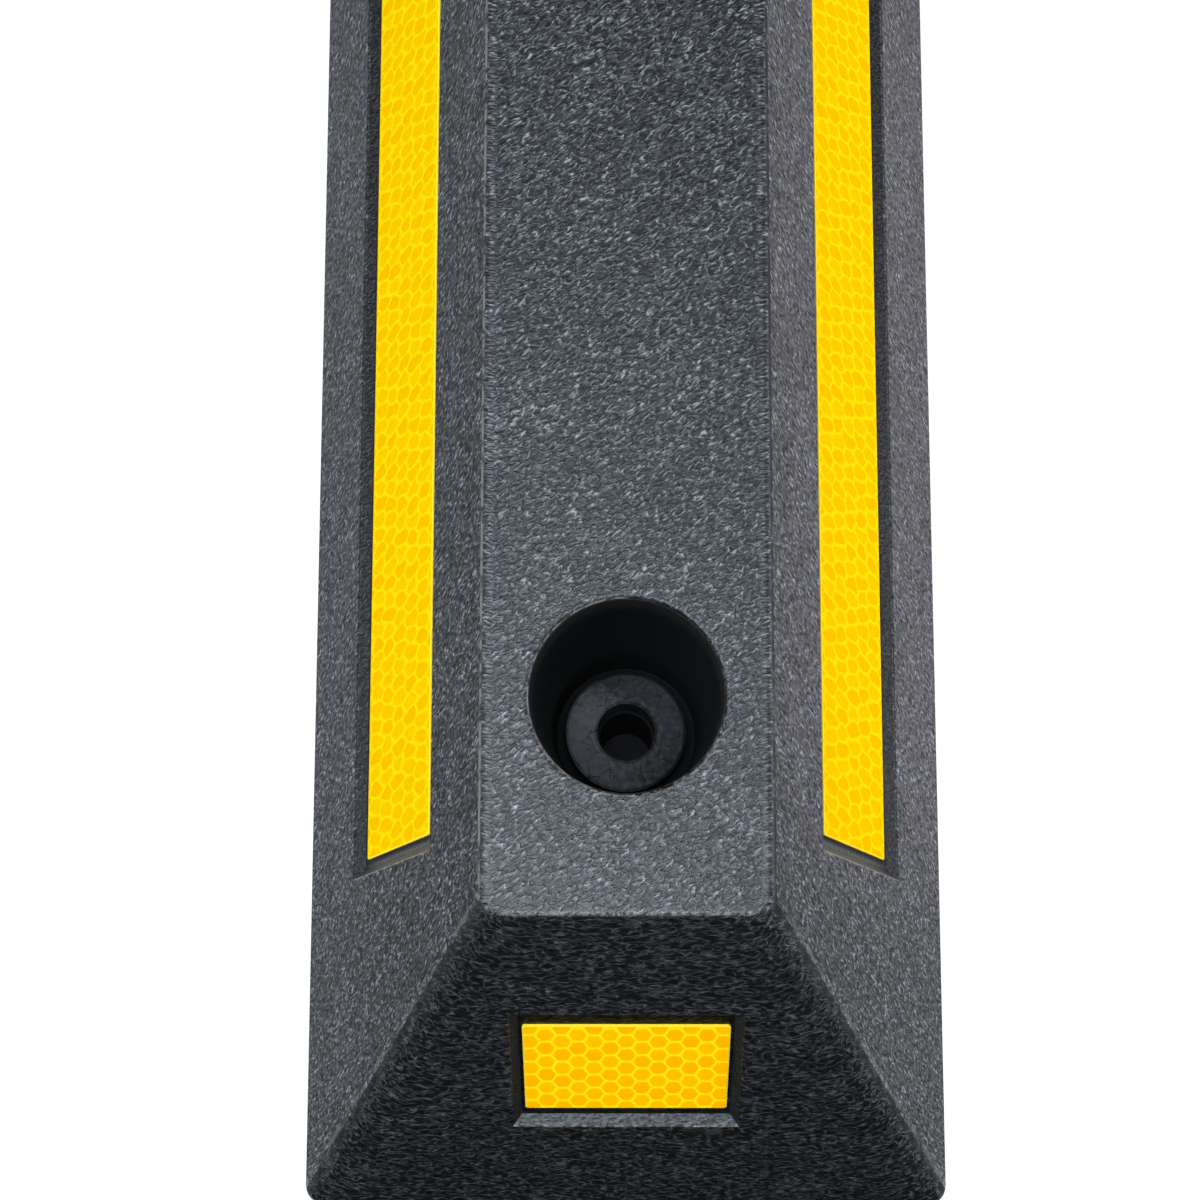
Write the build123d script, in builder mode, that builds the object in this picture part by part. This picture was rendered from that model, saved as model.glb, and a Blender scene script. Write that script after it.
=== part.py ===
import os
from math import atan2, degrees

from build123d import *

# Rubber wheel stop, in millimetres. It lies along Y, stands on Z = 0 and is centred on X = Y = 0.

# Moulded body
length = 550.0
width = 150.0
height = 100.0
top_width = 60.0
end_run = 60.0  # how far each sloping end leans in over the height
hip_radius = 5.0
top_edge_radius = 2.0

# Reflective tape, and the recesses that it is stuck in
tape_thickness = 0.5
tape_corner = 1.0
side_tape_width = 40.0
end_tape_width = 45.0
end_tape_height = 33.5
recess_depth = 2.2
recess_draft = 2.2  # how far a recess wall leans out over its depth
recess_rim_radius = 1.0
side_top_gap = 3.2  # bare floor above a side tape
side_low_gap = 2.3  # bare floor below it
side_end_gap = 1.95  # bare floor at its ends
side_end_lean = 2.3  # how much nearer the middle a side recess ends at its upper edge than at its lower
side_recess_rise = 0.5  # how far a side recess lies above the middle of its slope
side_recess_inset = 14.45  # from the end of the top face to the end of a side recess
end_top_gap = 4.6  # bare floor above an end tape
end_low_gap = 2.9  # bare floor below it
end_edge_gap = 0.8  # bare floor beside it
end_recess_drop = 1.2  # how far an end recess lies below the middle of its slope

# Bolt wells and the steel bushes in them
well_from_end = 105.0
well_mouth = 40.5
well_floor = 31.4
well_mouth_radius = 1.2
seat_height = 34.0
socket_depth = 4.0
socket_clearance = 0.15
bolt_hole = 12.0
bush_outside = 27.0
bush_bore = 13.0
bush_height = 12.0
bush_chamfer = 0.6  # on the rim and on the bore

# Hollow underside
outer_wall = 16.0
rib = 12.0
boss_wall = 15.0  # rubber left beside a well
pocket_depth = 40.0
pocket_draft = 1.5  # how far a rib face leans over the depth of a pocket
pocket_corner = 4.0
pocket_pitch = 58.0  # the pocket and rib spacing aimed at between the wells

# Worked out from the sizes above
cut_over = 1.0  # how far a cutting shape stands out of the face that it cuts
top_length = length - 2 * end_run
side_run = (width - top_width) / 2
well_y = length / 2 - well_from_end
side_floor_width = side_tape_width + side_top_gap + side_low_gap
side_floor_length = top_length - 2 * (side_recess_inset + recess_draft)
side_tape_length = side_floor_length - 2 * side_end_gap
side_tape_rise = side_recess_rise + (side_low_gap - side_top_gap) / 2
end_floor_width = end_tape_width + 2 * end_edge_gap
end_floor_height = end_tape_height + end_top_gap + end_low_gap
end_tape_drop = end_recess_drop + (end_top_gap - end_low_gap) / 2
side_tape_lean = side_end_lean * side_tape_width / side_floor_width
side_tape_angle = degrees(atan2(side_tape_width, side_tape_lean))


def side_plane(side, sunk):
    """Plane on a long slope, local X along the stop, sunk into the rubber."""
    slope = Plane(
        origin=(side * (top_width + side_run) / 2, 0, height / 2),
        x_dir=(0, side, 0),
        z_dir=(side * height, 0, side_run),
    )
    return slope.offset(-sunk)


def end_plane(end, sunk):
    """Plane on a sloping end, local Y up the slope, sunk into the rubber."""
    slope = Plane(
        origin=(0, end * (length - end_run) / 2, height / 2),
        x_dir=(-end, 0, 0),
        z_dir=(0, end * height, end_run),
    )
    return slope.offset(-sunk)


def cut_recess(floor_length, floor_width, end_lean=0.0):
    """Cut a recess from its floor outwards, with flat walls that lean out."""
    with BuildPart(mode=Mode.PRIVATE) as cutter:
        Box(
            2 * floor_length,
            2 * floor_width,
            recess_depth + cut_over,
            align=(Align.CENTER, Align.CENTER, Align.MIN),
        )
        for way in (-1, 1):
            long_wall = Plane(
                origin=(0, way * floor_width / 2, 0),
                z_dir=(0, way * recess_depth, -recess_draft),
            )
            end_wall = Plane(
                origin=(way * floor_length / 2, 0, 0),
                z_dir=(way * recess_depth, recess_depth * end_lean / floor_width, -recess_draft),
            )
            split(bisect_by=long_wall, keep=Keep.BOTTOM)
            split(bisect_by=end_wall, keep=Keep.BOTTOM)
    add(cutter.part, mode=Mode.SUBTRACT)


# Body: the long section crossed with the end profile, then recessed, bored and hollowed
with BuildPart() as body:
    with BuildSketch(Plane.XZ):
        with BuildLine():
            Polyline(
                (-width / 2, 0),
                (width / 2, 0),
                (top_width / 2, height),
                (-top_width / 2, height),
                close=True,
            )
        make_face()
    extrude(amount=length / 2, both=True)
    with BuildSketch(Plane.YZ):
        with BuildLine():
            Polyline(
                (-length / 2, 0),
                (length / 2, 0),
                (top_length / 2, height),
                (-top_length / 2, height),
                close=True,
            )
        make_face()
    extrude(amount=width / 2, both=True, mode=Mode.INTERSECT)
    hips = body.edges().filter_by(lambda edge: edge.bounding_box().size.Z > height / 2)
    fillet(hips, hip_radius)
    fillet(body.faces().sort_by(Axis.Z)[-1].edges(), top_edge_radius)

    # Drafted recesses, two along the sides and one on each end, with rounded rims
    for side in (-1, 1):
        with Locations(side_plane(side, recess_depth)):
            with Locations((0, side_recess_rise)):
                cut_recess(side_floor_length, side_floor_width, side_end_lean)
    for end in (-1, 1):
        with Locations(end_plane(end, recess_depth)):
            with Locations((0, -end_recess_drop)):
                cut_recess(end_floor_width, end_floor_height)
    recessed = body.faces().filter_by(lambda face: len(face.inner_wires()) > 0)
    fillet([edge for face in recessed for edge in face.inner_wires().edges()], recess_rim_radius)

    # Pockets under the body: one at each end and an even row between the wells, on both sides
    # of a middle rib, with outer walls that follow the slopes
    boss_half = well_mouth / 2 + boss_wall
    row_half = well_y - boss_half
    pocket_count = max(1, round((2 * row_half + rib) / pocket_pitch))
    pocket_length = (2 * row_half + rib) / pocket_count - rib
    row_start = -row_half + pocket_length / 2
    inner_x = rib / 2
    outer_x = width / 2 - outer_wall
    roof_outer_x = outer_x - side_run * pocket_depth / height
    end_outer_y = length / 2 - outer_wall
    end_roof_y = end_outer_y - end_run * pocket_depth / height
    end_inner_y = well_y + boss_half
    spans = []
    for index in range(pocket_count):
        middle = row_start + index * (pocket_length + rib)
        low, high = middle - pocket_length / 2, middle + pocket_length / 2
        spans.append((low, high, low + pocket_draft, high - pocket_draft))
    spans.append((end_inner_y, end_outer_y, end_inner_y + pocket_draft, end_roof_y))
    spans.append((-end_outer_y, -end_inner_y, -end_roof_y, -end_inner_y - pocket_draft))
    for side in (-1, 1):
        for low, high, roof_low, roof_high in spans:
            with BuildSketch(Plane.XY):
                with Locations((side * (inner_x + outer_x) / 2, (low + high) / 2)):
                    RectangleRounded(outer_x - inner_x, high - low, pocket_corner)
            with BuildSketch(Plane.XY.offset(pocket_depth)):
                roof_inner_x = inner_x + pocket_draft
                with Locations((side * (roof_inner_x + roof_outer_x) / 2, (roof_low + roof_high) / 2)):
                    RectangleRounded(roof_outer_x - roof_inner_x, roof_high - roof_low, pocket_corner)
            loft(ruled=True, mode=Mode.SUBTRACT)

    # Bolt wells: a tapered well, the socket that holds the bush and the bolt hole below it
    for end in (-1, 1):
        with BuildSketch(Plane(origin=(0, end * well_y, 0), x_dir=(1, 0, 0), z_dir=(0, -1, 0))):
            with BuildLine():
                socket = bush_outside / 2 + socket_clearance
                well_base = seat_height + socket_depth
                taper = (well_mouth - well_floor) / 2 / (height - well_base)
                Polyline(
                    (0, -cut_over),
                    (bolt_hole / 2, -cut_over),
                    (bolt_hole / 2, seat_height),
                    (socket, seat_height),
                    (socket, well_base),
                    (well_floor / 2, well_base),
                    (well_mouth / 2 + taper * cut_over, height + cut_over),
                    (0, height + cut_over),
                    close=True,
                )
            make_face()
        revolve(axis=Axis((0, end * well_y, 0), (0, 0, 1)), mode=Mode.SUBTRACT)
    fillet(body.faces().sort_by(Axis.Z)[-1].inner_wires().edges(), well_mouth_radius)
body.part.label = "body"

os.makedirs("parts", exist_ok=True)
export_step(body.part, "parts/body.step")

# Side tapes
for side, name in ((-1, "left_side_tape"), (1, "right_side_tape")):
    with BuildPart() as side_tape:
        with BuildSketch(side_plane(side, recess_depth)) as outline:
            with Locations((0, side_tape_rise)):
                Trapezoid(side_tape_length + side_tape_lean, side_tape_width, side_tape_angle)
            fillet(outline.vertices(), tape_corner)
        extrude(amount=tape_thickness)
    side_tape.part.label = name
    export_step(side_tape.part, f"parts/{name}.step")

# End tapes
for end, name in ((-1, "front_end_tape"), (1, "rear_end_tape")):
    with BuildPart() as end_tape:
        with BuildSketch(end_plane(end, recess_depth)):
            with Locations((0, -end_tape_drop)):
                RectangleRounded(end_tape_width, end_tape_height, tape_corner)
        extrude(amount=tape_thickness)
    end_tape.part.label = name
    export_step(end_tape.part, f"parts/{name}.step")

# Steel bushes at the bottom of the wells
for end, name in ((-1, "front_bush"), (1, "rear_bush")):
    with BuildPart() as bush:
        with BuildSketch(Plane(origin=(0, end * well_y, seat_height), x_dir=(1, 0, 0), z_dir=(0, 0, 1))):
            Circle(bush_outside / 2)
            Circle(bush_bore / 2, mode=Mode.SUBTRACT)
        extrude(amount=bush_height)
        chamfer(bush.faces().sort_by(Axis.Z)[-1].edges(), bush_chamfer)
    bush.part.label = name
    export_step(bush.part, f"parts/{name}.step")
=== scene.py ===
import math

import bmesh
import bpy
import numpy as np
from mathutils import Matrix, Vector


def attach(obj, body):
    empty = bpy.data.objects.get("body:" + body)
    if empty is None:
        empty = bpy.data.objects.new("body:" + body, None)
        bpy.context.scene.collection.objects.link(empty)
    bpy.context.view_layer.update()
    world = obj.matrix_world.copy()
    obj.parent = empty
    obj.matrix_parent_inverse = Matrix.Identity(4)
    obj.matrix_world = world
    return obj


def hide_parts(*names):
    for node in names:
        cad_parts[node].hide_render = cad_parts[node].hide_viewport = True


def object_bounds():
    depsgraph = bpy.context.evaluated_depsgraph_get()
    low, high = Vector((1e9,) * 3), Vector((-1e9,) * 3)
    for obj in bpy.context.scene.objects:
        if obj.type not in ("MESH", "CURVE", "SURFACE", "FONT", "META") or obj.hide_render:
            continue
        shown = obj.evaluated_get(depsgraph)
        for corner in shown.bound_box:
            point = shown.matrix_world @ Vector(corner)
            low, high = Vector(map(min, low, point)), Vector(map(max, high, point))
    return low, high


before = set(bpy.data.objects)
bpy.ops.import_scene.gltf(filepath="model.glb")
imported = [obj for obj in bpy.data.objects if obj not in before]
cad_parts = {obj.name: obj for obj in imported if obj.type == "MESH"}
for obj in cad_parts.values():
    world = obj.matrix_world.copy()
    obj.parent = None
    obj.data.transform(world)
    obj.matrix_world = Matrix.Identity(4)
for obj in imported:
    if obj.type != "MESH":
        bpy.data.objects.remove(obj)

cadLow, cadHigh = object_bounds()  # the CAD box, before any piece is dressed
scene = bpy.context.scene
scene.view_settings.view_transform = "Standard"
print("frame loaded", [round(v, 4) for v in cadHigh - cadLow])


# places and directions, read from the frame

def nodePoints(node):
    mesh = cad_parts[node].data
    flat = np.empty(len(mesh.vertices) * 3)
    mesh.vertices.foreach_get("co", flat)
    return flat.reshape(-1, 3)


def plateFrame(node):
    # the middle of a flat plate, its directions along, up and out, its sizes, and how much further
    # out each end lies for a step down
    points = nodePoints(node)
    middle = (points.max(axis=0) + points.min(axis=0)) / 2
    along, up, out = np.linalg.svd(points - points.mean(axis=0), full_matrices=False)[2]
    if abs(up[2]) < abs(along[2]):
        along, up = up, along
    up = up * np.sign(up[2])
    out = out * np.sign(out[2])
    directions = np.stack([np.cross(up, out), up, out])
    local = (points - middle) @ directions.T
    reach = np.abs(local[:, 0])
    low = np.argmax(np.where(local[:, 1] < 0, reach, 0))
    high = np.argmax(np.where(local[:, 1] > 0, reach, 0))
    lean = (reach[low] - reach[high]) / (local[high, 1] - local[low, 1])
    length = 2 * (reach[low] + lean * local[low, 1])
    size = np.array([length, np.ptp(local[:, 1]), np.ptp(local[:, 2])])
    return dict(middle=middle, directions=directions, size=size, lean=lean)


sidePlate = plateFrame("left_side_tape")
endPlate = plateFrame("front_end_tape")
sideOut = np.abs(sidePlate["directions"][2])
endOut = np.abs(endPlate["directions"][2])
bodyPoints = nodePoints("body")
bushPoints = nodePoints("rear_bush")
sameLevel = 1e-5
topPoints = bodyPoints[bodyPoints[:, 2] > cadHigh[2] - sameLevel]
wellPlace = (bushPoints[:, 1].max() + bushPoints[:, 1].min()) / 2
bodyShape = dict(
    halfWidth=cadHigh[0],
    halfLength=cadHigh[1],
    top=cadHigh[2],
    sideLean=sideOut[2] / sideOut[0],  # run for each unit of height
    endLean=endOut[2] / endOut[1],
    wellPlace=wellPlace,
    wellRim=np.hypot(topPoints[:, 0], np.abs(topPoints[:, 1]) - wellPlace).min(),
    tapeMiddle=np.abs(sidePlate["middle"]),
    tapeDown=np.array([1.0, 1.0, -1.0]) * np.abs(sidePlate["directions"][1]),
    tapeSize=sidePlate["size"],
    tapeLean=sidePlate["lean"],
)
print({key: np.round(value, 4) for key, value in bodyShape.items()})


# helpers for materials

def newMaterial(name):
    material = bpy.data.materials.new(name)
    material.use_nodes = True
    return material, material.node_tree, material.node_tree.nodes["Principled BSDF"]


def addNode(tree, kind, inputs=None, **settings):
    node = tree.nodes.new(kind)
    for key, value in settings.items():
        setattr(node, key, value)
    for key, value in (inputs or {}).items():
        if isinstance(value, bpy.types.NodeSocket):
            tree.links.new(value, node.inputs[key])
        else:
            node.inputs[key].default_value = value
    return node


def calc(tree, operation, a, b=0.0):
    return addNode(tree, "ShaderNodeMath", {0: a, 1: b}, operation=operation).outputs[0]


def times(tree, first, *others):  # the product of several masks
    for other in others:
        first = calc(tree, "MULTIPLY", first, other)
    return first


def highest(tree, first, *others):  # the largest of several masks
    for other in others:
        first = calc(tree, "MAXIMUM", first, other)
    return first


def without(tree, mask):
    return calc(tree, "SUBTRACT", 1.0, mask)


def vectorCalc(tree, operation, a, b=(0.0, 0.0, 0.0)):
    return addNode(tree, "ShaderNodeVectorMath", {0: a, 1: b}, operation=operation).outputs


def along(tree, place, way):  # how far the place lies along a direction
    return vectorCalc(tree, "DOT_PRODUCT", place, tuple(way))["Value"]


def smoothStep(tree, value, low, high, start=0.0, stop=1.0):
    # from start to stop as the value goes from low to high
    limits = {"Value": value, "From Min": low, "From Max": high, "To Min": start, "To Max": stop}
    return addNode(tree, "ShaderNodeMapRange", limits, interpolation_type="SMOOTHSTEP").outputs[0]


def band(tree, value, up, down, strength=1.0):  # rises over the first pair and falls over the second
    return times(tree, smoothStep(tree, value, *up), smoothStep(tree, value, *down, strength, 0.0))


def blend(tree, share, first, second):
    return addNode(tree, "ShaderNodeMix", {0: share, 2: first, 3: second}).outputs[0]


def blendColour(tree, share, first, second):
    return addNode(tree, "ShaderNodeMix", {0: share, 6: first, 7: second}, data_type="RGBA").outputs[2]


def noise(tree, place, scale=1.0, detail=1.0, roughness=0.5):
    inputs = {"Vector": place, "Scale": scale, "Detail": detail, "Roughness": roughness}
    return addNode(tree, "ShaderNodeTexNoise", inputs).outputs


def colourRamp(tree, factor, stops):
    ramp = addNode(tree, "ShaderNodeValToRGB", {"Fac": factor})
    elements = ramp.color_ramp.elements
    while len(elements) < len(stops):
        elements.new(0.5)
    for element, (place, colour) in zip(elements, stops):
        element.position = place
        element.color = (*colour, 1.0)
    return ramp.outputs["Color"]


def parts(tree, vector):
    return addNode(tree, "ShaderNodeSeparateXYZ", {0: vector}).outputs


def speckle(tree, place, look):  # a noise turned into a mask
    grain = noise(tree, place, look["scale"], look["detail"])["Fac"]
    return smoothStep(tree, grain, *look["limits"], *look["shares"])


def solid(colour):
    return (*colour, 1.0)


# moulded rubber: strokes and ripples in the skin, smooth recesses and wells, painted highlights on the edges
# and painted shade in the wells and beside the tapes

rubberLook = dict(
    # colours, where the skin is a grey for each height of the grain, lighter crests as painted highlights
    # and darker creases as painted shade
    skin=((0.11, 0.0005), (0.285, 0.007), (0.525, 0.030), (0.71, 0.072), (0.83, 0.135), (0.95, 0.24)),
    shade=(0.92, 1.0, 1.11),
    paintedLight=(0.17, 0.165, 0.155),
    dustAndLight=(0.060, 0.065, 0.074),
    paintedSideLight=(0.045, 0.042, 0.047),  # painted light on the right side
    mouthHighlight=(0.098, 0.105, 0.116),  # painted highlight on the inner edge of a well's mouth
    # painted shade inside a well
    well=(0.0010, 0.0011, 0.0014),
    black=(0.0, 0.0, 0.0),

    # grain of each face
    topGrain=dict(
        way=(0.80, 0.60, 0.0), length=0.0013, width=0.00062, bend=1.2, cut=(0.17, 0.81), lines=0.35,
    ),
    rimGrain=dict(
        way=(1.0, 0.15, 0.0), length=0.0018, width=0.00050, bend=0.4, cut=(0.18, 0.78), lines=0.25,
    ),
    sideGrain=dict(
        way=(-0.37, 0.42, 0.83), length=0.0014, width=0.00068, bend=1.0, cut=(0.19, 0.76), lines=0.3,
    ),
    endGrain=dict(
        way=(1.0, 0.0, 0.0), length=0.0018, width=0.00095, bend=0.9, cut=(0.05, 1.2), lines=0.42,
    ),
    # near the hips the end's grain is painted lighter by this share, as painted light
    endFan=dict(turn=1.0, start=0.004, reach=0.014, paintedGrainLight=1.1),
    recessGrain=0.5,
    slopeCut=2.2,  # slopes are cut deeper than the top
    depth=0.00014,

    # gloss, with roughness for creases and then for ridges
    gloss=0.38,
    tint=(0.9, 0.96, 1.0),
    topRoughness=(0.42, 0.32),
    sideRoughness=(0.95, 0.55),
    endRoughness=(0.45, 0.40),
    recessRoughness=0.42,
    darkRoughness=0.85,
    edgeRoughness=0.3,
    wellRoughness=(0.55, 0.9),  # the wall, the floor
    wellFloor=(0.75, 0.95),  # how far up a spot faces

    # zones, in metres below the top, over the hip, below the slopes or out from the well's rim
    topZone=(-0.0013, -0.0003),
    topEdgeZone=(-0.003, -0.002),
    topRimZone=(0.0014, 0.0028),
    endZone=(-0.0034, -0.0026),
    hipZone=(0.0035, 0.0055),
    recessZone=(0.0002, 0.0007),
    floorZone=(0.0016, 0.0021),
    outsideWell=(-0.0020, -0.0014),
    pastMouth=(-0.0016, -0.0008),
    hipHighlight=dict(up=(-0.0054, -0.0046), down=(-0.0042, -0.0034)),
    hipShade=dict(up=(-0.0036, -0.0031), down=(-0.0018, -0.0004)),
    rimShade=dict(up=(0.00004, 0.00012), down=(0.00022, 0.0004), strength=0.7),
    tapeShadowReach=(0.0004, 0.0016),
    middleZone=(-0.001, 0.001),
    paintedLightRight=(0.0, 0.05),
    paintedLightLeft=dict(reach=(-0.055, -0.065), share=0.3),
    paintedLightFade=dict(reach=0.06, share=0.25),

    # zones by the way that a spot faces
    edge=dict(up=(0.72, 0.80), down=(0.955, 0.99), strength=1.0),
    lipLightShade=dict(up=(0.48, 0.57), down=(0.72, 0.84)),
    endRim=(-0.02, -0.06),
    lowRim=(0.70, 0.85),
    dustAndLightWall=(0.86, 0.95),
    endWall=(0.08, 0.30),

    # noises that break up the zones, and the painted side light's share on low and high grain
    hipHighlightSpeckle=dict(scale=220.0, detail=2.0, limits=(0.42, 0.60), shares=(0.0, 0.4)),
    lipLightShadeSpeckle=dict(scale=420.0, detail=2.0, limits=(0.34, 0.56), shares=(0.0, 1.0)),
    hipShadeSpeckle=dict(scale=330.0, detail=1.0, limits=(0.35, 0.6), shares=(0.9, 0.35)),
    patch=dict(scale=60.0, detail=4.0, limits=(0.25, 0.75), shares=(0.95, 1.05)),
    fleck=dict(scale=900.0, detail=2.0, limits=(0.38, 0.66), shares=(0.15, 1.0)),
    paintedLightOnGrain=(0.15, 0.45, 0.3, 1.0),
)
grainNoise = dict(
    detail=1.0, roughness=0.4, swayScale=0.55, crestScale=0.7, crestPlace=(31.0, 17.0, 5.0),
    crestWidth=0.125, crestLift=0.35,
)


def stretched(tree, place, way, length, width):
    # the place measured in stroke lengths along the way and in stroke widths across it
    first = np.array(way) / np.linalg.norm(way)
    second = np.cross(first, (0.0, 0.0, 1.0))
    second = second / np.linalg.norm(second)
    axes = (first / length, second / width, np.cross(first, second) / width)
    spots = {index: along(tree, place, axis) for index, axis in enumerate(axes)}
    return addNode(tree, "ShaderNodeCombineXYZ", spots).outputs[0]


def bent(tree, laid, bend):  # pushed about by a slower noise, so that the strokes wander
    sway = noise(tree, laid, grainNoise["swayScale"])["Color"]
    sway = vectorCalc(tree, "SUBTRACT", sway, (0.5, 0.5, 0.5))[0]
    scaled = {0: sway, "Scale": 2.0 * bend}
    shift = addNode(tree, "ShaderNodeVectorMath", scaled, operation="SCALE").outputs[0]
    return vectorCalc(tree, "ADD", laid, shift)[0]


def strokes(tree, place, grain):
    # swells of a noise that is stretched along the grain, with thin lines where a second noise is at
    # its mean
    laid = stretched(tree, place, grain["way"], grain["length"], grain["width"])
    laid = bent(tree, laid, grain["bend"])
    fine = (grainNoise["detail"], grainNoise["roughness"])
    low, high = grain["cut"]
    limits = {"Value": noise(tree, laid, 1.0, *fine)["Fac"], "From Min": low, "From Max": high}
    swell = addNode(tree, "ShaderNodeMapRange", limits).outputs[0]
    elsewhere = vectorCalc(tree, "ADD", laid, grainNoise["crestPlace"])[0]
    wave = noise(tree, elsewhere, grainNoise["crestScale"], *fine)["Fac"]
    off = calc(tree, "ABSOLUTE", calc(tree, "SUBTRACT", wave, 0.5))
    crest = smoothStep(tree, off, 0.0, grainNoise["crestWidth"], 1.0, 0.0)
    crest = times(tree, crest, calc(tree, "ADD", swell, grainNoise["crestLift"]))
    return blend(tree, grain["lines"], swell, crest)


def ripples(tree, place, fromHip, grain, fan):
    # strokes along the end that turn up towards the hips, by the square of how far they reach into
    # the strip beside the hip; near the hip their colour is lifted as painted light
    inStrip = calc(tree, "MAXIMUM", calc(tree, "SUBTRACT", fan["reach"], fromHip), 0.0)
    rise = times(tree, inStrip, inStrip, fan["turn"] / (2.0 * fan["reach"]))
    spot = parts(tree, place)
    turned = {"X": spot["X"], "Y": spot["Y"], "Z": calc(tree, "SUBTRACT", spot["Z"], rise)}
    wrinkles = strokes(tree, addNode(tree, "ShaderNodeCombineXYZ", turned).outputs[0], grain)
    return times(tree, wrinkles, smoothStep(tree, fromHip, fan["start"], fan["reach"], fan["paintedGrainLight"], 1.0))


def makeRubber(look, shape):
    material, tree, shader = newMaterial("mouldedRubber")
    place = addNode(tree, "ShaderNodeTexCoord").outputs["Object"]
    here = parts(tree, place)
    outward = vectorCalc(tree, "ABSOLUTE", place)[0]  # both ends and both sides are alike
    spot = parts(tree, outward)
    folded = {"X": spot["X"], "Y": here["Y"], "Z": here["Z"]}
    mirrored = addNode(tree, "ShaderNodeCombineXYZ", folded).outputs[0]
    normal = addNode(tree, "ShaderNodeNewGeometry").outputs["Normal"]
    towards = vectorCalc(tree, "ABSOLUTE", normal)[0]
    facing = parts(tree, towards)

    # depth below the side slopes and below the end slopes, measured level
    acrossSide = along(tree, outward, (1.0, 0.0, shape["sideLean"]))
    acrossEnd = along(tree, outward, (0.0, 1.0, shape["endLean"]))
    sunkSide = calc(tree, "SUBTRACT", shape["halfWidth"], acrossSide)
    sunkEnd = calc(tree, "SUBTRACT", shape["halfLength"], acrossEnd)
    sunk = calc(tree, "MINIMUM", sunkSide, sunkEnd)
    fromHip = calc(tree, "MAXIMUM", sunkSide, sunkEnd)
    overHip = calc(tree, "SUBTRACT", sunkSide, sunkEnd)

    # where a spot is: on the top, an end, a hip, in a recess or in a well
    belowTop = calc(tree, "SUBTRACT", spot["Z"], shape["top"])
    onTop = smoothStep(tree, belowTop, *look["topZone"])
    offTop = without(tree, onTop)
    atTop = smoothStep(tree, belowTop, *look["topEdgeZone"])
    onEnd = smoothStep(tree, overHip, *look["endZone"])
    offEnd = without(tree, onEnd)
    offHip = smoothStep(tree, fromHip, *look["hipZone"])
    inRecess = times(tree, smoothStep(tree, sunk, *look["recessZone"]), offHip, offTop)
    flatPlace = vectorCalc(tree, "MULTIPLY", outward, (1.0, 1.0, 0.0))[0]
    fromWell = vectorCalc(tree, "DISTANCE", flatPlace, (0.0, shape["wellPlace"], 0.0))["Value"]
    fromRim = calc(tree, "SUBTRACT", fromWell, shape["wellRim"])
    outsideWell = smoothStep(tree, fromRim, *look["outsideWell"])
    pastMouth = smoothStep(tree, fromRim, *look["pastMouth"])
    onMouthHighlight = times(tree, outsideWell, without(tree, pastMouth))

    # an edge is where the normal agrees with no face: neither slope, nor the top
    flatness = highest(tree, along(tree, towards, sideOut), along(tree, towards, endOut))
    flatness = highest(tree, flatness, times(tree, facing["Z"], onTop))
    edge = times(tree, band(tree, flatness, **look["edge"]), offHip, pastMouth)
    facesMiddle = times(tree, here["Y"], parts(tree, normal)["Y"])
    endRim = times(tree, smoothStep(tree, facesMiddle, *look["endRim"]), offEnd)
    lowRim = times(tree, smoothStep(tree, facing["Z"], *look["lowRim"]), onEnd)
    # on the ends' rims and the low rims of the end recesses the edges get painted highlights
    edgeHighlight = times(tree, edge, highest(tree, endRim, lowRim))

    # broken lines of painted highlight and painted shade beside the hips, along the top's long edges and
    # along the side recesses
    hipHighlight = band(tree, overHip, **look["hipHighlight"])
    hipHighlight = times(tree, hipHighlight, offTop, speckle(tree, place, look["hipHighlightSpeckle"]))
    hipShade = band(tree, overHip, **look["hipShade"])
    hipShade = times(tree, hipShade, offTop, speckle(tree, place, look["hipShadeSpeckle"]))
    lipLightShade = band(tree, facing["Z"], **look["lipLightShade"])
    lipLightShade = times(tree, lipLightShade, atTop, offEnd, pastMouth, speckle(tree, place, look["lipLightShadeSpeckle"]))
    onRight = smoothStep(tree, here["X"], *look["middleZone"])  # painted highlight on the left lip, painted shade on the right lip
    # a painted shade line just inside the side recesses' rims
    rimShade = band(tree, sunk, **look["rimShade"])
    rimShade = times(tree, rimShade, offHip, offTop, offEnd, without(tree, endRim))

    # grain of each face, faint in the recesses
    wrinkles = ripples(tree, place, fromHip, look["endGrain"], look["endFan"])
    slope = blend(tree, onEnd, strokes(tree, mirrored, look["sideGrain"]), wrinkles)
    slope = times(tree, slope, smoothStep(tree, inRecess, 0.0, 1.0, 1.0, look["recessGrain"]))
    topRim = times(tree, smoothStep(tree, sunkSide, *look["topRimZone"], 1.0, 0.0), onTop)
    rimStrokes = strokes(tree, mirrored, look["rimGrain"])
    level = blend(tree, topRim, strokes(tree, place, look["topGrain"]), rimStrokes)
    height = times(tree, blend(tree, onTop, slope, level), pastMouth, without(tree, lipLightShade))
    relief = times(tree, height, blend(tree, onTop, look["slopeCut"], 1.0))
    bump = addNode(tree, "ShaderNodeBump", {"Height": relief, "Distance": look["depth"]})
    tree.links.new(bump.outputs[0], shader.inputs["Normal"])

    # painted shadow of the tape on the floor of a side recess, below the tape and past its ends
    tapeLine = float(shape["tapeMiddle"] @ shape["tapeDown"])
    below = calc(tree, "SUBTRACT", along(tree, outward, shape["tapeDown"]), tapeLine)
    endLine = times(tree, below, float(shape["tapeLean"]))
    endLine = calc(tree, "ADD", endLine, float(shape["tapeSize"][0]) / 2)
    pastLow = calc(tree, "SUBTRACT", below, float(shape["tapeSize"][1]) / 2)
    fromTape = highest(tree, pastLow, calc(tree, "SUBTRACT", spot["Y"], endLine))
    tapeShadow = smoothStep(tree, fromTape, *look["tapeShadowReach"], 1.0, 0.0)
    tapeShadow = times(tree, tapeShadow, inRecess, offEnd, smoothStep(tree, sunk, *look["floorZone"]))
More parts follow.
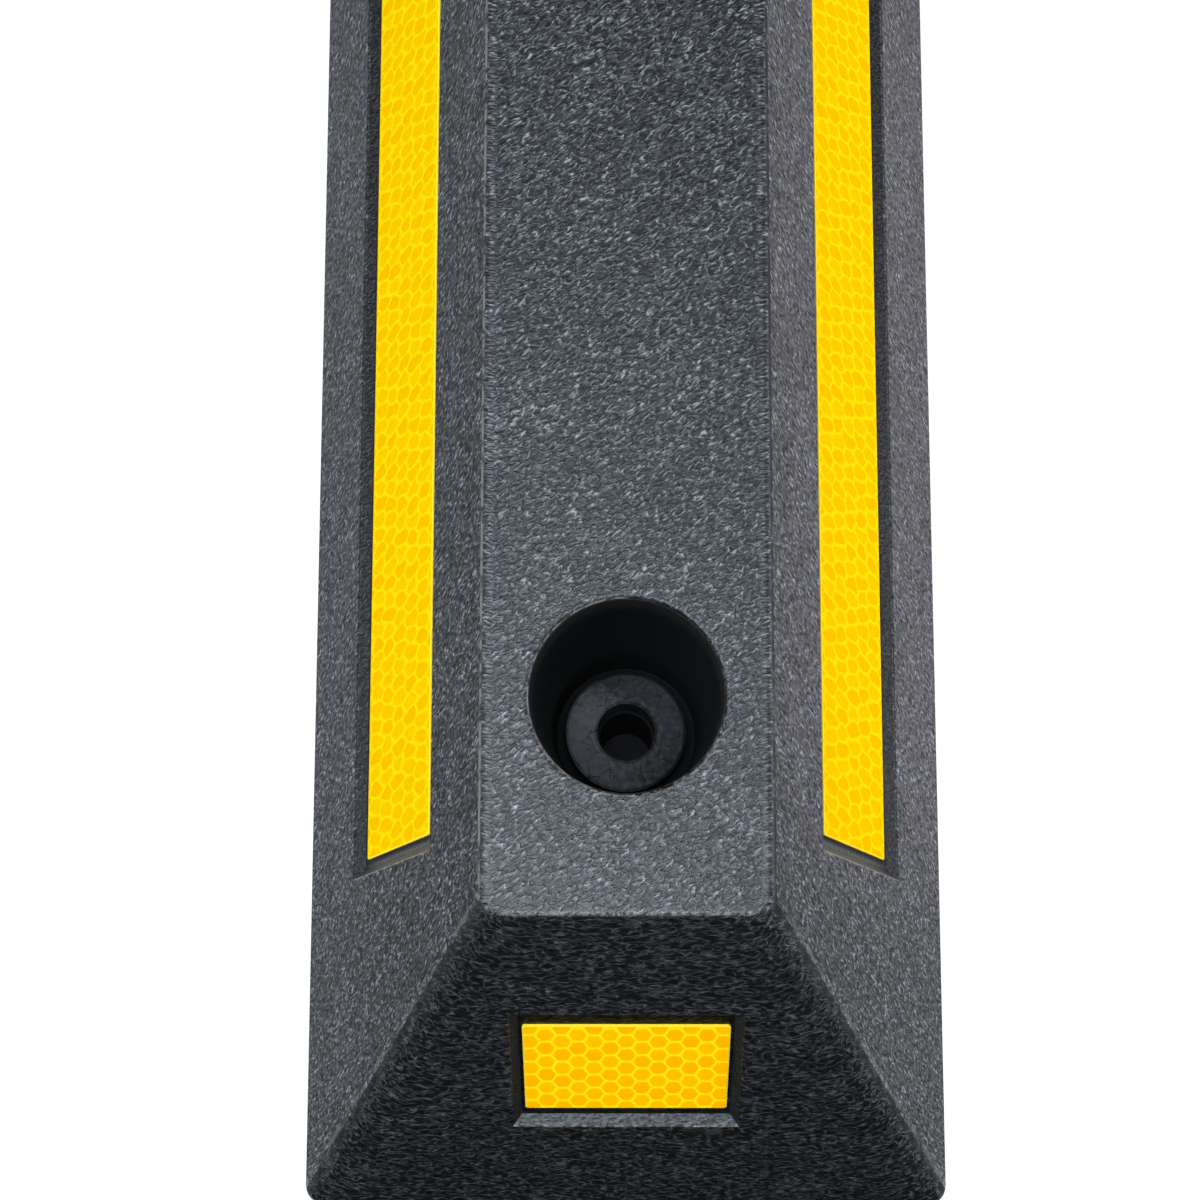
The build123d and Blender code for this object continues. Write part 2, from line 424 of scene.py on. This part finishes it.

    # painted light on the right side and low on the left, fainter towards the ends
    paintedGrainLight = times(tree, height, speckle(tree, place, look["patch"]))
    onLeft = smoothStep(tree, here["X"], *look["paintedLightLeft"]["reach"], 0.0, look["paintedLightLeft"]["share"])
    paintedSideLightShare = highest(tree, smoothStep(tree, here["X"], *look["paintedLightRight"]), onLeft)
    fadeEnd = shape["wellPlace"] + look["paintedLightFade"]["reach"]
    fade = smoothStep(tree, spot["Y"], shape["wellPlace"], fadeEnd, 1.0, look["paintedLightFade"]["share"])
    paintedSideLightShare = times(tree, paintedSideLightShare, offTop, offEnd, without(tree, inRecess), fade)
    paintedSideLightShare = times(tree, paintedSideLightShare, smoothStep(tree, paintedGrainLight, *look["paintedLightOnGrain"]))

    # colour: the skin, its grain crests painted light and creases painted shade; painted highlights on
    # edges, beside the hips and on the left lip; dust and painted light on the low wall of an end recess; a
    # painted highlight on each well's lip; then painted shade in black and in the wells
    skin = colourRamp(tree, paintedGrainLight, [(step, np.array(look["shade"]) * grey) for step, grey in look["skin"]])
    paintedSideLight = blendColour(tree, paintedSideLightShare, solid(look["black"]), solid(look["paintedSideLight"]))
    colour = vectorCalc(tree, "ADD", skin, paintedSideLight)[0]
    fleck = speckle(tree, place, look["fleck"])
    paintedHighlights = highest(tree, times(tree, edgeHighlight, fleck), hipHighlight, times(tree, lipLightShade, without(tree, onRight)))
    colour = blendColour(tree, paintedHighlights, colour, solid(look["paintedLight"]))
    # the up-facing low wall of an end recess is lightened: dust and painted light from above
    dustAndLightShare = times(tree, inRecess, onEnd, smoothStep(tree, facing["Z"], *look["dustAndLightWall"]), fleck)
    colour = blendColour(tree, dustAndLightShare, colour, solid(look["dustAndLight"]))
    # a painted highlight on each well's lip
    colour = blendColour(tree, onMouthHighlight, colour, solid(look["mouthHighlight"]))
    # painted shade in black: the tape's shadow, the right lip, beside the hips and along the recess rims
    dark = highest(tree, tapeShadow, times(tree, lipLightShade, onRight), hipShade, rimShade)
    colour = blendColour(tree, dark, colour, solid(look["black"]))
    # inside the wells the rubber is painted near-black, as shade
    colour = blendColour(tree, outsideWell, solid(look["well"]), colour)
    tree.links.new(colour, shader.inputs["Base Color"])

    def zoned(index):
        slopes = blend(tree, onEnd, look["sideRoughness"][index], look["endRoughness"][index])
        return blend(tree, onTop, slopes, look["topRoughness"][index])

    endWall = times(tree, smoothStep(tree, facing["X"], *look["endWall"]), onEnd, offHip)
    smooth = blend(tree, highest(tree, endWall, tapeShadow), look["recessRoughness"], look["darkRoughness"])
    rough = blend(tree, inRecess, blend(tree, paintedGrainLight, zoned(0), zoned(1)), smooth)
    rough = blend(tree, edgeHighlight, rough, look["edgeRoughness"])
    rough = blend(tree, hipShade, rough, look["darkRoughness"])
    wellRough = smoothStep(tree, facing["Z"], *look["wellFloor"], *look["wellRoughness"])
    tree.links.new(blend(tree, outsideWell, wellRough, rough), shader.inputs["Roughness"])
    shader.inputs["Specular IOR Level"].default_value = look["gloss"]
    shader.inputs["Specular Tint"].default_value = solid(look["tint"])
    return material


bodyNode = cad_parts["body"]
bodyNode.data.materials.clear()
bodyNode.data.materials.append(makeRubber(rubberLook, bodyShape))
print("rubber done")


# reflective tape: a sheet of honeycomb cells, cut to the plate and closed below

sideTape = dict(
    cell=(0.82, 0.45, 0.0), light=(0.83, 0.505, 0.0), line=(0.83, 0.62, 0.003), paintedGlow=0.03,
    columnPitch=0.0074, rowPitch=0.0037, lineShare=0.26, wobble=0.00032, rounding=1.0,
)
endTape = dict(
    cell=(0.95, 0.41, 0.0), light=(0.96, 0.46, 0.0), line=(0.96, 0.68, 0.004), paintedGlow=0.22,
    columnPitch=0.0035, rowPitch=0.0053, lineShare=0.25, wobble=0.00005, rounding=0.8,
)
tapeShape = dict(
    border=0.00035, corner=0.0008, rise=0.00006, bevel=0.00008, perEdge=3,
    shoulder=0.8, palest=0.65,  # shares of the rise and of the colour
)
tapeEdge = dict(colour=(0.96, 0.68, 0.035), roughness=0.4)
filmFinish = dict(speckScale=900.0, speckDetail=3.0, speckShare=0.25, stops=(0.2, 0.65, 1.0), roughness=0.35)


def makeFilm(name, look):
    material, tree, shader = newMaterial(name)
    share = addNode(tree, "ShaderNodeAttribute", attribute_name="cellShare").outputs["Fac"]
    place = addNode(tree, "ShaderNodeTexCoord").outputs["Object"]
    speck = noise(tree, place, filmFinish["speckScale"], filmFinish["speckDetail"])["Fac"]
    speck = calc(tree, "MULTIPLY", calc(tree, "SUBTRACT", speck, 0.5), filmFinish["speckShare"])
    tones = (look["line"], look["light"], look["cell"])
    colour = colourRamp(tree, calc(tree, "ADD", share, speck), list(zip(filmFinish["stops"], tones)))
    tree.links.new(colour, shader.inputs["Base Color"])
    # the film glows in its own colour: painted light beyond what the lamps give
    tree.links.new(colour, shader.inputs["Emission Color"])
    shader.inputs["Emission Strength"].default_value = look["paintedGlow"]
    shader.inputs["Roughness"].default_value = filmFinish["roughness"]
    shader.inputs["Specular IOR Level"].default_value = 0.0
    return material


def makeFilmEdge(look):
    material, tree, shader = newMaterial("filmEdge")
    shader.inputs["Base Color"].default_value = solid(look["colour"])
    shader.inputs["Roughness"].default_value = look["roughness"]
    shader.inputs["Specular IOR Level"].default_value = 0.0
    return material


def honeycomb(length, width, cells, shape):
    # six-sided cells in columns, every second column half a row up; each is a rim on the cell's
    # outline, a ring set in by the line and rounded towards an oval, and a middle point
    pitch, row = cells["columnPitch"], cells["rowPitch"]
    columns = np.arange(-math.ceil(width / pitch / 2) - 1, math.ceil(width / pitch / 2) + 2)
    rows = np.arange(-math.ceil(length / row / 2) - 1, math.ceil(length / row / 2) + 2)
    column, line = np.meshgrid(columns, rows, indexing="ij")
    middles = np.stack([column * pitch, (line + 0.5 * (column % 2)) * row], axis=-1).reshape(-1, 1, 2)
    turn = np.arange(6) * math.pi / 3
    corners = np.stack([np.cos(turn), np.sin(turn)], axis=-1)
    between = np.linspace(0, 1, shape["perEdge"], endpoint=False).reshape(1, -1, 1)
    following = np.roll(corners, -1, axis=0)
    rim = (corners[:, None] * (1 - between) + following[:, None] * between).reshape(-1, 2)
    oval = math.cos(math.pi / 6) * rim / np.linalg.norm(rim, axis=1, keepdims=True)
    inset = (1 - cells["lineShare"]) * (rim + cells["rounding"] * (oval - rim))
    rings = np.concatenate([rim, inset, np.zeros((1, 2))]) * (pitch / 1.5, row / math.sqrt(3))
    flat = (middles + rings).reshape(-1, 2)

    around = len(rim)
    # each cell has its own depth of colour, a fast sine of its column and row
    tone = 0.5 + 0.5 * np.sin(12.9898 * column + 78.233 * line).reshape(-1, 1)
    inside = shape["palest"] + (1 - shape["palest"]) * tone
    share = np.concatenate([np.zeros((len(tone), around)), np.repeat(inside, around + 1, axis=1)], axis=1)
    lift = np.concatenate([np.zeros(around), np.full(around, shape["shoulder"]), [1.0]]) * shape["rise"]
    step = np.arange(around)
    after = (step + 1) % around
    quads = np.stack([step, after, around + after, around + step], axis=-1)
    fans = np.stack([around + step, around + after, np.full(around, 2 * around)], axis=-1)
    starts = (np.arange(len(middles)) * len(rings)).reshape(-1, 1, 1)
    faces = (starts + quads).reshape(-1, 4).tolist() + (starts + fans).reshape(-1, 3).tolist()

    # the wobble is a sum of two waves each way, the same wherever cells share a corner
    x, y = 2 * math.pi * flat.T / (3.1 * row)
    across = np.sin(y + 2.3 * np.sin(0.61 * x)) + 0.6 * np.sin(1.9 * y + 1.7 * np.sin(0.83 * x))
    onward = np.sin(1.27 * x + 1.9 * np.sin(0.47 * y)) + 0.6 * np.sin(1.6 * x - 2.1 * np.sin(1.1 * y))
    flat += cells["wobble"] * np.stack([across, onward], axis=-1) * (pitch / row, 1.0)
    return np.column_stack([flat, np.tile(lift, len(middles))]), share.ravel(), faces


def cutToPlate(sheet, half, corner):  # along sixteen lines, four sides and three for each round corner
    for turn in np.arange(16) * math.pi / 8:
        normal = Vector((round(math.cos(turn), 6), round(math.sin(turn), 6), 0))
        inner = Vector((np.sign(normal.x) * (half.x - corner), np.sign(normal.y) * (half.y - corner), 0))
        geometry = sheet.verts[:] + sheet.edges[:] + sheet.faces[:]
        bmesh.ops.bisect_plane(sheet, geom=geometry, dist=1e-7, plane_co=inner + corner * normal,
                               plane_no=normal, clear_outer=True)


def growRim(sheet, move):  # a strip of new faces on the open rim, its outer corners put where move says
    rim = [edge for edge in sheet.edges if edge.is_boundary]
    made = bmesh.ops.extrude_edge_only(sheet, edges=rim)["geom"]
    for item in made:
        if isinstance(item, bmesh.types.BMVert):
            item.co = move(item.co)
        elif isinstance(item, bmesh.types.BMFace):
            item.material_index = 1


def layTape(node, cells, shape, materials, turned):
    plate = plateFrame(node)
    size = plate["size"]
    long, wide = (size[0], size[1]) if turned else (size[1], size[0])
    points, share, faces = honeycomb(long, wide, cells, shape)
    if turned:
        points = points[:, (1, 0, 2)] * (1, -1, 1)
    mesh = bpy.data.meshes.new(node + "Film")
    mesh.from_pydata(points.tolist(), [], faces)
    mesh.attributes.new("cellShare", "FLOAT", "POINT").data.foreach_set("value", share)
    sheet = bmesh.new()
    sheet.from_mesh(mesh)
    bmesh.ops.remove_doubles(sheet, verts=sheet.verts, dist=1e-6)
    half = Vector((size[0] / 2 - shape["border"], size[1] / 2 - shape["border"], 0))
    cutToPlate(sheet, half, shape["corner"])
    grow = Vector((size[0] / 2 / half.x, size[1] / 2 / half.y, 1))
    growRim(sheet, lambda at: Vector((at.x * grow.x, at.y * grow.y, -shape["bevel"])))
    growRim(sheet, lambda at: Vector((at.x, at.y, shape["rise"] - size[2])))
    bmesh.ops.edgeloop_fill(sheet, edges=[edge for edge in sheet.edges if edge.is_boundary])
    bmesh.ops.recalc_face_normals(sheet, faces=sheet.faces)
    sheet.to_mesh(mesh)
    sheet.free()
    flat = np.empty(len(mesh.vertices) * 3)
    mesh.vertices.foreach_get("co", flat)
    local = flat.reshape(-1, 3) + (0, 0, size[2] / 2 - shape["rise"])
    local[:, 0] *= 1 - 2 * plate["lean"] * local[:, 1] / size[0]  # the ends lean as the plate's do
    mesh.vertices.foreach_set("co", (plate["middle"] + local @ plate["directions"]).ravel())
    for material in materials:
        mesh.materials.append(material)
    mesh.update()
    piece = bpy.data.objects.new(node + "Film", mesh)
    scene.collection.objects.link(piece)
    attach(piece, "root")
    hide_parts(node)
    print("tape", node, np.round(size * 1000, 2), len(mesh.polygons))


filmEdge = makeFilmEdge(tapeEdge)
sideFilm = makeFilm("sideFilm", sideTape)
endFilm = makeFilm("endFilm", endTape)
for node in ("left_side_tape", "right_side_tape"):
    layTape(node, sideTape, tapeShape, (sideFilm, filmEdge), turned=True)
for node in ("front_end_tape", "rear_end_tape"):
    layTape(node, endTape, tapeShape, (endFilm, filmEdge), turned=False)


# steel bushes: black plating, mottled and finely cracked, with painted light on one side and painted shade
# towards the middle of the stop

bushLook = dict(
    dark=(0.012, 0.0135, 0.016),
    light=(0.082, 0.088, 0.096),
    crack=(0.006, 0.007, 0.008),
    toneStops=(0.15, 0.9),
    mottle=dict(scale=700.0, detail=5.0, roughness=0.65),
    speck=dict(scale=2600.0, detail=2.0, share=0.3),
    across=dict(half=0.012, lift=0.42),  # painted light on the left
    inwardShade=dict(reach=(0.003, 0.013), drop=-0.6),  # painted shade towards the middle of the stop
    sway=dict(scale=300.0, detail=2.0, reach=0.004),
    crackScale=300.0,
    crackWidth=0.05,
    broken=dict(scale=250.0, detail=1.0, limits=(0.40, 0.6), shares=(0.0, 0.7)),
    depth=0.0001,
    roughness=(0.67, 0.45),  # on low and on high mottle
    roughStops=(0.3, 0.7),
    gloss=0.1,
)


def makeBushSteel(look):
    material, tree, shader = newMaterial("bushSteel")
    place = addNode(tree, "ShaderNodeTexCoord").outputs["Object"]
    mottle = noise(tree, place, **look["mottle"])["Fac"]
    spot = parts(tree, vectorCalc(tree, "ABSOLUTE", place)[0])
    beyond = calc(tree, "SUBTRACT", wellPlace, spot["Y"])
    half, lift = look["across"]["half"], look["across"]["lift"]
    # painted light and shade: lighter on the left, darker towards the middle of the stop
    paintedLight = smoothStep(tree, parts(tree, place)["X"], -half, half, lift, -lift)
    inwardShade = smoothStep(tree, beyond, *look["inwardShade"]["reach"], 0.0, look["inwardShade"]["drop"])
    paintedLight = calc(tree, "ADD", paintedLight, inwardShade)
    speck = noise(tree, place, look["speck"]["scale"], look["speck"]["detail"])["Fac"]
    speck = calc(tree, "MULTIPLY", calc(tree, "SUBTRACT", speck, 0.5), look["speck"]["share"])
    tone = calc(tree, "ADD", calc(tree, "ADD", mottle, paintedLight), speck)
    tone = colourRamp(tree, tone, list(zip(look["toneStops"], (look["dark"], look["light"]))))

    # cracks along the borders of bent cells, left out in places
    sway = noise(tree, place, look["sway"]["scale"], look["sway"]["detail"])["Color"]
    shift = vectorCalc(tree, "MULTIPLY", sway, (look["sway"]["reach"],) * 3)[0]
    cellInputs = {"Vector": vectorCalc(tree, "ADD", place, shift)[0], "Scale": look["crackScale"]}
    cells = addNode(tree, "ShaderNodeTexVoronoi", cellInputs, feature="DISTANCE_TO_EDGE")
    crack = smoothStep(tree, cells.outputs["Distance"], 0.0, look["crackWidth"], 1.0, 0.0)
    crack = times(tree, crack, speckle(tree, place, look["broken"]))
    colour = blendColour(tree, crack, tone, solid(look["crack"]))
    tree.links.new(colour, shader.inputs["Base Color"])
    relief = calc(tree, "SUBTRACT", mottle, crack)
    bump = addNode(tree, "ShaderNodeBump", {"Height": relief, "Distance": look["depth"]})
    tree.links.new(bump.outputs[0], shader.inputs["Normal"])
    rough = smoothStep(tree, mottle, *look["roughStops"], *look["roughness"])
    tree.links.new(rough, shader.inputs["Roughness"])
    shader.inputs["Specular IOR Level"].default_value = look["gloss"]
    return material


bushSteel = makeBushSteel(bushLook)
for node in ("front_bush", "rear_bush"):
    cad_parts[node].data.materials.clear()
    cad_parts[node].data.materials.append(bushSteel)
print("bushes done")


# floor, light and camera

floorLook = dict(
    colour=(0.9, 0.9, 0.9), underneathShade=(0.03, 0.03, 0.034), roughness=0.9,
    size=6.0, whiteShare=0.65, inset=0.005,
)


def plainSheet(name, low, high, level, material):
    mesh = bpy.data.meshes.new(name)
    flat = ((low[0], low[1]), (high[0], low[1]), (high[0], high[1]), (low[0], high[1]))
    corners = [(x, y, level) for x, y in flat]
    mesh.from_pydata(corners, [], [(0, 1, 2, 3)])
    mesh.materials.append(material)
    sheet = bpy.data.objects.new(name, mesh)
    scene.collection.objects.link(sheet)
    return sheet


def makeFloor(look, shape):
    material, tree, shader = newMaterial("paleFloor")
    shader.inputs["Roughness"].default_value = look["roughness"]
    shader.inputs["Specular IOR Level"].default_value = 0.0
    rays = addNode(tree, "ShaderNodeLightPath").outputs
    seen = highest(tree, rays["Is Camera Ray"], rays["Is Glossy Ray"], rays["Is Transmission Ray"])
    place = addNode(tree, "ShaderNodeTexCoord").outputs["Object"]
    spot = parts(tree, vectorCalc(tree, "ABSOLUTE", place)[0])
    beside = calc(tree, "GREATER_THAN", spot["X"], shape["halfWidth"] - look["inset"])
    beyond = calc(tree, "GREATER_THAN", spot["Y"], shape["halfLength"] - look["inset"])
    outside = calc(tree, "MAXIMUM", beside, beyond)  # the ground under the stop is painted dark, as shade
    ground = colourRamp(tree, outside, [(0.4, look["underneathShade"]), (0.6, look["colour"])])
    tree.links.new(ground, shader.inputs["Base Color"])
    white = addNode(tree, "ShaderNodeEmission", {"Color": (1.0, 1.0, 1.0, 1.0), "Strength": 1.0}).outputs[0]
    share = times(tree, seen, outside, look["whiteShare"])
    mixed = addNode(tree, "ShaderNodeMixShader", {0: share, 1: shader.outputs[0], 2: white}).outputs[0]
    tree.links.new(mixed, tree.nodes["Material Output"].inputs["Surface"])
    return material


half = floorLook["size"] / 2
plainSheet("floor", (-half, -half), (half, half), 0.0, makeFloor(floorLook, bodyShape))

flagLook = dict(colour=(0.01, 0.01, 0.01), low=(-0.5, -1.2), high=(0.5, -0.2735), level=0.0005)
blackCard, cardTree, cardShader = newMaterial("blackCard")
cardShader.inputs["Base Color"].default_value = solid(flagLook["colour"])
cardShader.inputs["Specular IOR Level"].default_value = 0.0
card = plainSheet("frontFlag", flagLook["low"], flagLook["high"], flagLook["level"], blackCard)
card.visible_camera = False  # it only keeps the near end dark
card.visible_shadow = False

worldLook = dict(colour=(0.95, 0.97, 1.0), strength=0.12)
world = bpy.data.worlds.new("studio")
scene.world = world
world.use_nodes = True
sky = world.node_tree.nodes["Background"]
sky.inputs["Color"].default_value = solid(worldLook["colour"])
sky.inputs["Strength"].default_value = worldLook["strength"]


def softBox(name, place, target, size, power, colour):
    lamp = bpy.data.lights.new(name, "AREA")
    lamp.shape = "RECTANGLE"
    lamp.size, lamp.size_y = size
    lamp.energy = power
    lamp.color = colour
    box = bpy.data.objects.new(name, lamp)
    box.location = place
    box.rotation_euler = (Vector(target) - Vector(place)).to_track_quat("-Z", "Y").to_euler()
    scene.collection.objects.link(box)


softBoxes = dict(
    overheadSoftBox=dict(
        place=(-0.23, -0.44, 1.5), target=(-0.23, -0.44, 0.0), size=(0.9, 1.0),
        power=31.0, colour=(0.88, 0.94, 1.0),
    ),
    leftSoftBox=dict(
        place=(-0.9, -0.1, 0.9), target=(-0.03, -0.1, 0.08), size=(0.3, 1.5),
        power=5.0, colour=(0.95, 0.97, 1.0),
    ),
    rightSoftBox=dict(
        place=(1.0, -0.1, 0.4), target=(0.1, -0.1, 0.05), size=(0.7, 1.0),
        power=8.0, colour=(1.0, 0.95, 0.98),
    ),
)
for name, box in softBoxes.items():
    softBox(name, **box)

photoView = dict(
    place=(-0.002133, -0.256822, 0.659751), tilt=10.795, yaw=0.343,  # degrees
    lens=82.59, sensor=36.0,  # millimetres
    clipStart=0.05,
)
lens = bpy.data.cameras.new("photoCamera")
lens.lens = photoView["lens"]
lens.sensor_width = photoView["sensor"]
lens.clip_start = photoView["clipStart"]
camera = bpy.data.objects.new("photoCamera", lens)
camera.location = photoView["place"]
camera.rotation_mode = "ZYX"
camera.rotation_euler = (math.radians(photoView["tilt"]), math.radians(photoView["yaw"]), 0)
scene.collection.objects.link(camera)
scene.camera = camera
print("stage done")
